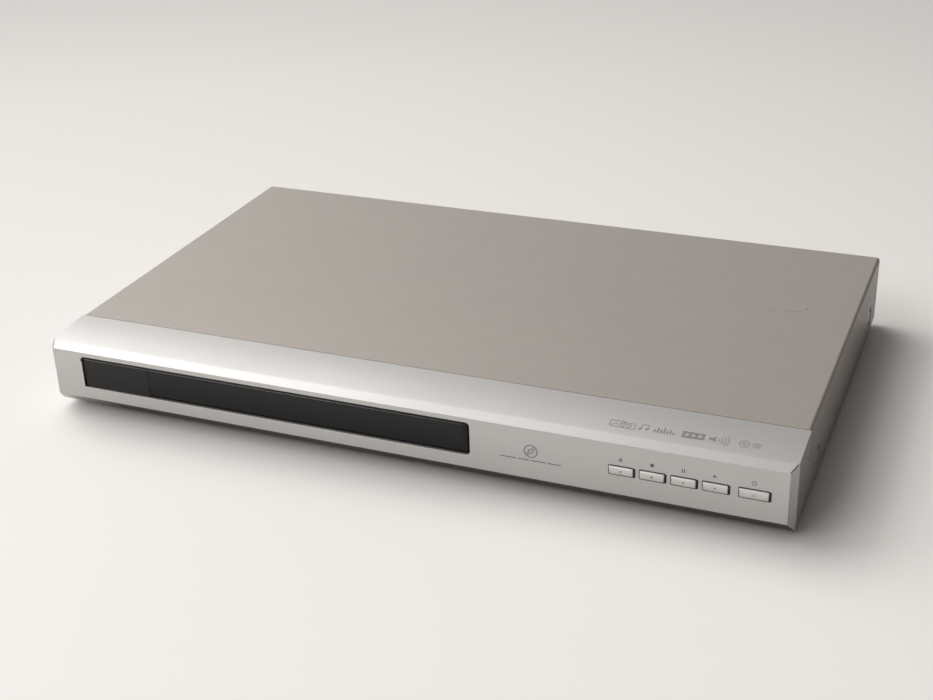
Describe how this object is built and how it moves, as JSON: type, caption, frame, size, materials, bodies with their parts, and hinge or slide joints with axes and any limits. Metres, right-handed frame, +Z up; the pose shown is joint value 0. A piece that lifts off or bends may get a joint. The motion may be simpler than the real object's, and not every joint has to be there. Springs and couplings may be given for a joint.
{
  "type": "disc player",
  "caption": "Flat disc player for a shelf: a sliding tray behind a front door bar, a dark display window, push buttons and a folded cover over a full loader inside.",
  "frame": {"origin": "on the surface it stands on, under the middle of its outline", "axes": "+X to the viewer's right, +Y towards the back, +Z up"},
  "size_m": [0.43, 0.2752, 0.045],
  "materials": {
    "cover_paint": "satin",
    "bezel_silver": "satin",
    "button_silver": "satin",
    "door_black": "satin",
    "window_smoke": "gloss",
    "plated_steel": "matte",
    "foot_rubber": "matte",
    "screw_steel": "satin",
    "circuit_board": "matte",
    "black_plastic": "matte",
    "gear_plastic": "matte",
    "motor_steel": "satin",
    "sleeve": "satin",
    "heatsink": "matte",
    "transformer_core": "matte",
    "contact_metal": "polished",
    "lens_cover_grey": "satin",
    "lens_glass": "polished"
  },
  "bodies": {
    "player": {"top_cover": "cover_paint", "front_bezel": "bezel_silver", "display_window": "window_smoke", "bottom_chassis": "plated_steel", "rear_panel": "plated_steel", "clamp_bridge": "plated_steel", "feet": "foot_rubber", "drive_belt": "foot_rubber", "cover_side_screws": "screw_steel", "cover_rear_screws": "screw_steel", "foot_screws": "screw_steel", "loader_screws": "screw_steel", "board_screws": "screw_steel", "front_board_screws": "screw_steel", "bridge_screws": "screw_steel", "button_board": "circuit_board", "display_board": "circuit_board", "main_board": "circuit_board", "power_board": "circuit_board", "tact_switches": "black_plastic", "remote_receiver": "black_plastic", "led_display": "black_plastic", "loader_frame": "black_plastic", "decoder_chip": "black_plastic", "scart_socket": "black_plastic", "rca_housing": "black_plastic", "mains_inlet": "black_plastic", "ribbon_sockets": "gear_plastic", "front_ribbon": "gear_plastic", "rca_cores": "gear_plastic", "loading_motor": "motor_steel", "board_capacitors": "sleeve", "mains_capacitor": "sleeve", "decoder_heatsink": "heatsink", "power_heatsink": "heatsink", "transformer": "transformer_core", "rca_barrels": "contact_metal", "inlet_pins": "contact_metal"},
    "tray": {"tray": "black_plastic", "tray_door": "door_black"},
    "drive_gear": {"drive_gear": "gear_plastic"},
    "pulley_gear": {"pulley_gear": "gear_plastic"},
    "motor_pulley": {"motor_pulley": "gear_plastic"},
    "cam_slider": {"cam_slider": "gear_plastic"},
    "clamper": {"clamper": "gear_plastic"},
    "traverse": {"traverse_frame": "black_plastic", "spindle_motor": "motor_steel", "guide_rods": "screw_steel", "sled_motor": "motor_steel"},
    "turntable": {"turntable": "black_plastic", "turntable_pad": "foot_rubber"},
    "sled": {"pickup_sled": "black_plastic", "lens_cover": "lens_cover_grey", "objective_lens": "lens_glass"},
    "lead_screw": {"lead_screw": "screw_steel"},
    "open_close_button": {"open_close_button": "button_silver"},
    "stop_button": {"stop_button": "button_silver"},
    "pause_button": {"pause_button": "button_silver"},
    "play_button": {"play_button": "button_silver"},
    "power_button": {"power_button": "button_silver"}
  },
  "joints": [
    {"name": "tray_slide", "type": "slide", "parent": "player", "child": "tray", "axis": [0, -1, 0], "range_m": [0, 0.14]},
    {"name": "drive_gear_spin", "type": "hinge", "parent": "player", "child": "drive_gear", "pos_m": [-0.10205, -0.10385, 0.022], "axis": [0, 0, 1], "range_deg": [0, 840]},
    {"name": "pulley_gear_spin", "type": "hinge", "parent": "player", "child": "pulley_gear", "pos_m": [-0.0792, -0.10788, 0.022], "axis": [0, 0, 1], "range_deg": [-2640, 0]},
    {"name": "motor_pulley_spin", "type": "hinge", "parent": "player", "child": "motor_pulley", "pos_m": [-0.03965, -0.10985, 0.0239], "axis": [0, 0, 1], "range_deg": [-8650, 0]},
    {"name": "traverse_tilt", "type": "hinge", "parent": "player", "child": "traverse", "pos_m": [-0.05165, 0.04615, 0.0175], "axis": [1, 0, 0], "range_deg": [0, 3.75]},
    {"name": "cam_slide", "type": "slide", "parent": "player", "child": "cam_slider", "axis": [1, 0, 0], "range_m": [0, 0.0098]},
    {"name": "turntable_spin", "type": "hinge", "parent": "traverse", "child": "turntable", "pos_m": [-0.05165, -0.06185, 0.03], "axis": [0, 0, 1], "continuous": true},
    {"name": "clamper_spin", "type": "hinge", "parent": "player", "child": "clamper", "pos_m": [-0.05165, -0.06185, 0.036], "axis": [0, 0, 1], "continuous": true},
    {"name": "sled_slide", "type": "slide", "parent": "traverse", "child": "sled", "axis": [0, 1, 0], "range_m": [0, 0.032]},
    {"name": "lead_screw_spin", "type": "hinge", "parent": "traverse", "child": "lead_screw", "pos_m": [-0.01215, -0.01685, 0.0176], "axis": [0, 1, 0], "range_deg": [0, 3850]},
    {"name": "open_close_button_press", "type": "slide", "parent": "player", "child": "open_close_button", "axis": [0, 1, 0], "range_m": [0, 0.0005], "stiffness_N_per_m": 1000},
    {"name": "stop_button_press", "type": "slide", "parent": "player", "child": "stop_button", "axis": [0, 1, 0], "range_m": [0, 0.0005], "stiffness_N_per_m": 1000},
    {"name": "pause_button_press", "type": "slide", "parent": "player", "child": "pause_button", "axis": [0, 1, 0], "range_m": [0, 0.0005], "stiffness_N_per_m": 1000},
    {"name": "play_button_press", "type": "slide", "parent": "player", "child": "play_button", "axis": [0, 1, 0], "range_m": [0, 0.0005], "stiffness_N_per_m": 1000},
    {"name": "power_button_press", "type": "slide", "parent": "player", "child": "power_button", "axis": [0, 1, 0], "range_m": [0, 0.0005], "stiffness_N_per_m": 1000}
  ],
  "couplings": [
    {"joint": "drive_gear_spin", "follows": "tray_slide", "rad_per_m": 104.17},
    {"joint": "pulley_gear_spin", "follows": "tray_slide", "rad_per_m": -327.38},
    {"joint": "motor_pulley_spin", "follows": "tray_slide", "rad_per_m": -1075.7},
    {"joint": "cam_slide", "follows": "traverse_tilt", "m_per_rad": 0.14813},
    {"joint": "turntable_spin", "follows": "clamper_spin", "ratio": 1},
    {"joint": "lead_screw_spin", "follows": "sled_slide", "rad_per_m": 2094.4}
  ]
}
